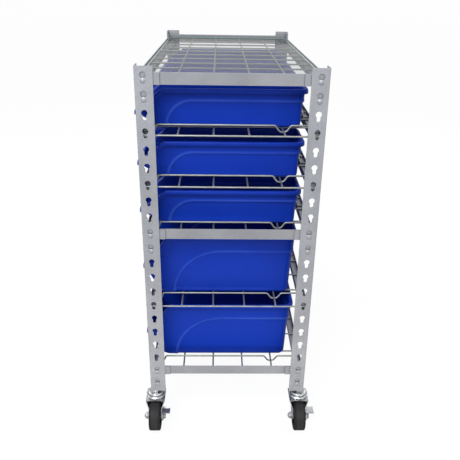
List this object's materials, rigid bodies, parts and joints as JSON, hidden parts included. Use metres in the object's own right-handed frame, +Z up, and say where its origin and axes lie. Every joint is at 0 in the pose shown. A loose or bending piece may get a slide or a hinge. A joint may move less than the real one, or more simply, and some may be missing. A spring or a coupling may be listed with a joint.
{
  "type": "mobile bin rack",
  "caption": "Open steel storage rack on swivel casters, with keyhole posts, wire decks, a clear top sheet and sliding hopper-front bins in two sizes.",
  "frame": {"origin": "on the floor, under the middle of the whole assembly's bounding box", "axes": "+Z up, -X the front that the bins are drawn out of, -Y the end with the braked casters"},
  "size_m": [0.4384, 0.8755, 0.914],
  "materials": {
    "galvanised_steel": "matt speckled zinc coat",
    "zinc_wire": "bright zinc on drawn wire",
    "clear_sheet": "clear polished acrylic",
    "blue_plastic": "glossy royal blue polypropylene",
    "caster_steel": "bright zinc plate on pressed steel",
    "tyre_rubber": "near-black hard rubber"
  },
  "bodies": {
    "rack": {"post_front_right": "galvanised_steel", "post_back_right": "galvanised_steel", "post_front_left": "galvanised_steel", "post_back_left": "galvanised_steel", "end_beams_top": "galvanised_steel", "end_beams_middle": "galvanised_steel", "end_beams_bottom": "galvanised_steel", "long_beams_top": "galvanised_steel", "long_beams_shelf_1": "galvanised_steel", "long_beams_shelf_2": "galvanised_steel", "long_beams_shelf_3": "galvanised_steel", "long_beams_shelf_4": "galvanised_steel", "long_beams_shelf_5": "galvanised_steel", "beam_connectors": "galvanised_steel", "deck_top": "zinc_wire", "deck_shelf_1": "zinc_wire", "deck_shelf_2": "zinc_wire", "deck_shelf_3": "zinc_wire", "deck_shelf_4": "zinc_wire", "deck_shelf_5": "zinc_wire", "wire_dividers": "zinc_wire", "top_sheet": "clear_sheet", "caster_sockets": "caster_steel", "caster_stems": "caster_steel"},
    "bin_1_1_body": {"bin_1_1": "blue_plastic"},
    "bin_1_2_body": {"bin_1_2": "blue_plastic"},
    "bin_1_3_body": {"bin_1_3": "blue_plastic"},
    "bin_1_4_body": {"bin_1_4": "blue_plastic"},
    "bin_1_5_body": {"bin_1_5": "blue_plastic"},
    "bin_2_1_body": {"bin_2_1": "blue_plastic"},
    "bin_2_2_body": {"bin_2_2": "blue_plastic"},
    "bin_2_3_body": {"bin_2_3": "blue_plastic"},
    "bin_2_4_body": {"bin_2_4": "blue_plastic"},
    "bin_2_5_body": {"bin_2_5": "blue_plastic"},
    "bin_3_1_body": {"bin_3_1": "blue_plastic"},
    "bin_3_2_body": {"bin_3_2": "blue_plastic"},
    "bin_3_3_body": {"bin_3_3": "blue_plastic"},
    "bin_3_4_body": {"bin_3_4": "blue_plastic"},
    "bin_3_5_body": {"bin_3_5": "blue_plastic"},
    "bin_4_1_body": {"bin_4_1": "blue_plastic"},
    "bin_4_2_body": {"bin_4_2": "blue_plastic"},
    "bin_4_3_body": {"bin_4_3": "blue_plastic"},
    "bin_5_1_body": {"bin_5_1": "blue_plastic"},
    "bin_5_2_body": {"bin_5_2": "blue_plastic"},
    "bin_5_3_body": {"bin_5_3": "blue_plastic"},
    "swivel_front_right": {"fork_front_right": "caster_steel", "axle_front_right": "caster_steel"},
    "wheel_body_front_right": {"wheel_front_right": "tyre_rubber"},
    "swivel_back_right": {"fork_back_right": "caster_steel", "axle_back_right": "caster_steel"},
    "wheel_body_back_right": {"wheel_back_right": "tyre_rubber"},
    "swivel_front_left": {"fork_front_left": "caster_steel", "axle_front_left": "caster_steel"},
    "wheel_body_front_left": {"wheel_front_left": "tyre_rubber"},
    "swivel_back_left": {"fork_back_left": "caster_steel", "axle_back_left": "caster_steel"},
    "wheel_body_back_left": {"wheel_back_left": "tyre_rubber"},
    "brake_body_front_right": {"brake_front_right": "caster_steel"},
    "brake_body_back_right": {"brake_back_right": "caster_steel"}
  },
  "joints": [
    {"name": "bin_1_1_slide", "type": "slide", "parent": "rack", "child": "bin_1_1_body", "axis": [-1, 0, 0], "range_m": [0, 0.38]},
    {"name": "bin_1_2_slide", "type": "slide", "parent": "rack", "child": "bin_1_2_body", "axis": [-1, 0, 0], "range_m": [0, 0.38]},
    {"name": "bin_1_3_slide", "type": "slide", "parent": "rack", "child": "bin_1_3_body", "axis": [-1, 0, 0], "range_m": [0, 0.38]},
    {"name": "bin_1_4_slide", "type": "slide", "parent": "rack", "child": "bin_1_4_body", "axis": [-1, 0, 0], "range_m": [0, 0.38]},
    {"name": "bin_1_5_slide", "type": "slide", "parent": "rack", "child": "bin_1_5_body", "axis": [-1, 0, 0], "range_m": [0, 0.38]},
    {"name": "bin_2_1_slide", "type": "slide", "parent": "rack", "child": "bin_2_1_body", "axis": [-1, 0, 0], "range_m": [0, 0.38]},
    {"name": "bin_2_2_slide", "type": "slide", "parent": "rack", "child": "bin_2_2_body", "axis": [-1, 0, 0], "range_m": [0, 0.38]},
    {"name": "bin_2_3_slide", "type": "slide", "parent": "rack", "child": "bin_2_3_body", "axis": [-1, 0, 0], "range_m": [0, 0.38]},
    {"name": "bin_2_4_slide", "type": "slide", "parent": "rack", "child": "bin_2_4_body", "axis": [-1, 0, 0], "range_m": [0, 0.38]},
    {"name": "bin_2_5_slide", "type": "slide", "parent": "rack", "child": "bin_2_5_body", "axis": [-1, 0, 0], "range_m": [0, 0.38]},
    {"name": "bin_3_1_slide", "type": "slide", "parent": "rack", "child": "bin_3_1_body", "axis": [-1, 0, 0], "range_m": [0, 0.38]},
    {"name": "bin_3_2_slide", "type": "slide", "parent": "rack", "child": "bin_3_2_body", "axis": [-1, 0, 0], "range_m": [0, 0.38]},
    {"name": "bin_3_3_slide", "type": "slide", "parent": "rack", "child": "bin_3_3_body", "axis": [-1, 0, 0], "range_m": [0, 0.38]},
    {"name": "bin_3_4_slide", "type": "slide", "parent": "rack", "child": "bin_3_4_body", "axis": [-1, 0, 0], "range_m": [0, 0.38]},
    {"name": "bin_3_5_slide", "type": "slide", "parent": "rack", "child": "bin_3_5_body", "axis": [-1, 0, 0], "range_m": [0, 0.38]},
    {"name": "bin_4_1_slide", "type": "slide", "parent": "rack", "child": "bin_4_1_body", "axis": [-1, 0, 0], "range_m": [0, 0.38]},
    {"name": "bin_4_2_slide", "type": "slide", "parent": "rack", "child": "bin_4_2_body", "axis": [-1, 0, 0], "range_m": [0, 0.38]},
    {"name": "bin_4_3_slide", "type": "slide", "parent": "rack", "child": "bin_4_3_body", "axis": [-1, 0, 0], "range_m": [0, 0.38]},
    {"name": "bin_5_1_slide", "type": "slide", "parent": "rack", "child": "bin_5_1_body", "axis": [-1, 0, 0], "range_m": [0, 0.38]},
    {"name": "bin_5_2_slide", "type": "slide", "parent": "rack", "child": "bin_5_2_body", "axis": [-1, 0, 0], "range_m": [0, 0.38]},
    {"name": "bin_5_3_slide", "type": "slide", "parent": "rack", "child": "bin_5_3_body", "axis": [-1, 0, 0], "range_m": [0, 0.38]},
    {"name": "swivel_turn_front_right", "type": "hinge", "parent": "rack", "child": "swivel_front_right", "pos_m": [-0.19075, -0.37025, 0.085], "axis": [0, 0, 1], "continuous": true},
    {"name": "wheel_spin_front_right", "type": "hinge", "parent": "swivel_front_right", "child": "wheel_body_front_right", "pos_m": [-0.19075, -0.40025, 0.0375], "axis": [1, 0, 0], "continuous": true},
    {"name": "swivel_turn_back_right", "type": "hinge", "parent": "rack", "child": "swivel_back_right", "pos_m": [0.18125, -0.37025, 0.085], "axis": [0, 0, 1], "continuous": true},
    {"name": "wheel_spin_back_right", "type": "hinge", "parent": "swivel_back_right", "child": "wheel_body_back_right", "pos_m": [0.18125, -0.40025, 0.0375], "axis": [1, 0, 0], "continuous": true},
    {"name": "swivel_turn_front_left", "type": "hinge", "parent": "rack", "child": "swivel_front_left", "pos_m": [-0.19075, 0.41375, 0.085], "axis": [0, 0, 1], "continuous": true},
    {"name": "wheel_spin_front_left", "type": "hinge", "parent": "swivel_front_left", "child": "wheel_body_front_left", "pos_m": [-0.19075, 0.38375, 0.0375], "axis": [1, 0, 0], "continuous": true},
    {"name": "swivel_turn_back_left", "type": "hinge", "parent": "rack", "child": "swivel_back_left", "pos_m": [0.18125, 0.41375, 0.085], "axis": [0, 0, 1], "continuous": true},
    {"name": "wheel_spin_back_left", "type": "hinge", "parent": "swivel_back_left", "child": "wheel_body_back_left", "pos_m": [0.18125, 0.38375, 0.0375], "axis": [1, 0, 0], "continuous": true},
    {"name": "brake_press_front_right", "type": "hinge", "parent": "swivel_front_right", "child": "brake_body_front_right", "pos_m": [-0.19075, -0.40025, 0.0375], "axis": [1, 0, 0], "range_deg": [0, 35]},
    {"name": "brake_press_back_right", "type": "hinge", "parent": "swivel_back_right", "child": "brake_body_back_right", "pos_m": [0.18125, -0.40025, 0.0375], "axis": [1, 0, 0], "range_deg": [0, 35]}
  ]
}
